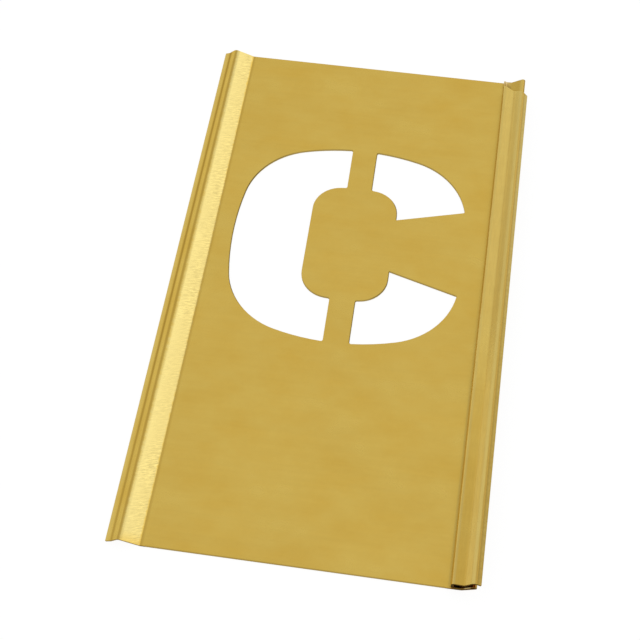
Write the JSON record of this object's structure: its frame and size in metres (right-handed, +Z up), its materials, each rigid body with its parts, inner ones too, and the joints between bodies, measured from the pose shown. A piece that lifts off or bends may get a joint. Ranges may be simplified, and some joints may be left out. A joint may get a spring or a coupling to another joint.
{
  "type": "lettering stencil plate",
  "caption": "Brass lettering stencil plate with a letter C cut through it, a raised tongue along its left edge and a folded pocket along its right.",
  "frame": {"origin": "under the middle of the whole plate, on the plane that its back lies on", "axes": "+Z up out of the plate's face, +Y along the two lock edges towards the top of the letter, +X from the tongue to the pocket"},
  "size_m": [0.0362, 0.0636, 0.0021],
  "materials": {
    "brass_sheet": "satin"
  },
  "bodies": {
    "root": {"stencil_plate": "brass_sheet"}
  },
  "joints": []
}
